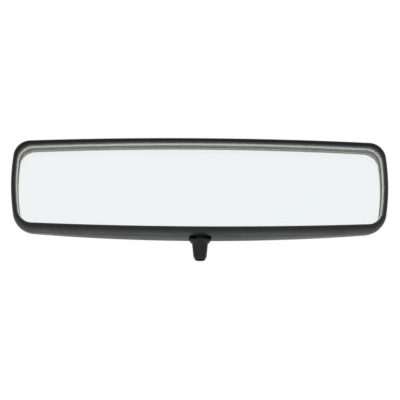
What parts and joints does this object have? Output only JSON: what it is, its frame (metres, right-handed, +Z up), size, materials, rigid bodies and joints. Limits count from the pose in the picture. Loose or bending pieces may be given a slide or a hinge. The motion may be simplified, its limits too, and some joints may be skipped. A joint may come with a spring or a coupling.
{
  "type": "interior rearview mirror",
  "caption": "Wide rounded interior rearview mirror: black framed wedge glass, day/night finger tab below, double-ball arm and windshield button mount behind.",
  "frame": {"origin": "centre of the windshield button's bonding face", "axes": "+X along the mirror's width, -Y towards the driver (the glass faces -Y), +Z up"},
  "size_m": [0.25, 0.1341, 0.0852],
  "materials": {
    "black_plastic": "fine textured satin black",
    "carrier_plastic": "moulded black",
    "mirror_glass": "polished, pale green ground edge",
    "mirror_silver": "silvered, painted grey behind",
    "foam": "closed-cell foam",
    "nylon": "natural nylon",
    "zinc_steel": "zinc plated",
    "spring_steel": "oiled spring steel",
    "coated_metal": "black powder coat",
    "sintered_metal": "sintered, sand blasted"
  },
  "bodies": {
    "windshield_mount": {"channel_mount": "coated_metal", "windshield_button": "sintered_metal", "set_screw": "zinc_steel", "mount_ball_stud": "zinc_steel"},
    "upper_liner": {"upper_ball_liner": "nylon"},
    "arm": {"arm_tube": "coated_metal", "lower_plug": "sintered_metal", "arm_spring": "spring_steel", "upper_plug": "sintered_metal"},
    "lower_liner": {"lower_ball_liner": "nylon"},
    "ball_stud": {"head_ball_stud": "zinc_steel"},
    "bracket": {"pivot_bracket": "zinc_steel", "stud_nut": "zinc_steel"},
    "head": {"bezel_ring": "black_plastic", "rear_housing": "black_plastic", "prism_glass": "mirror_glass", "silver_backing": "mirror_silver", "foam_pad": "foam", "carrier_plate": "carrier_plastic", "carrier_screw_1": "zinc_steel", "carrier_screw_2": "zinc_steel", "carrier_screw_3": "zinc_steel", "carrier_screw_4": "zinc_steel", "tilt_pivot_rod": "zinc_steel", "lever_pivot_pin": "zinc_steel", "toggle_spring": "spring_steel"},
    "lever": {"toggle_lever": "carrier_plastic", "toggle_grip": "black_plastic"}
  },
  "joints": [
    {"name": "arm_yaw", "type": "hinge", "parent": "windshield_mount", "child": "upper_liner", "pos_m": [0, -0.025, -0.01744], "axis": [0, 0, 1], "range_deg": [-20, 20]},
    {"name": "arm_pitch", "type": "hinge", "parent": "upper_liner", "child": "arm", "pos_m": [0, -0.025, -0.01744], "axis": [1, 0, 0], "range_deg": [-15, 15]},
    {"name": "head_yaw", "type": "hinge", "parent": "arm", "child": "lower_liner", "pos_m": [0, -0.07, -0.027], "axis": [0, 0, 1], "range_deg": [-20, 20]},
    {"name": "head_pitch", "type": "hinge", "parent": "lower_liner", "child": "ball_stud", "pos_m": [0, -0.07, -0.027], "axis": [1, 0, 0], "range_deg": [-15, 15]},
    {"name": "head_roll", "type": "hinge", "parent": "ball_stud", "child": "bracket", "pos_m": [0, -0.07, -0.027], "axis": [0, 1, 0], "range_deg": [-15, 15]},
    {"name": "day_night_tilt", "type": "hinge", "parent": "bracket", "child": "head", "pos_m": [0, -0.09775, -0.015], "axis": [-1, 0, 0], "range_deg": [0, 3.2]},
    {"name": "toggle_flip", "type": "hinge", "parent": "head", "child": "lever", "pos_m": [0, -0.099, -0.054], "axis": [-1, 0, 0], "range_deg": [0, 16]}
  ],
  "couplings": [
    {"joint": "toggle_flip", "follows": "day_night_tilt", "ratio": 5}
  ]
}
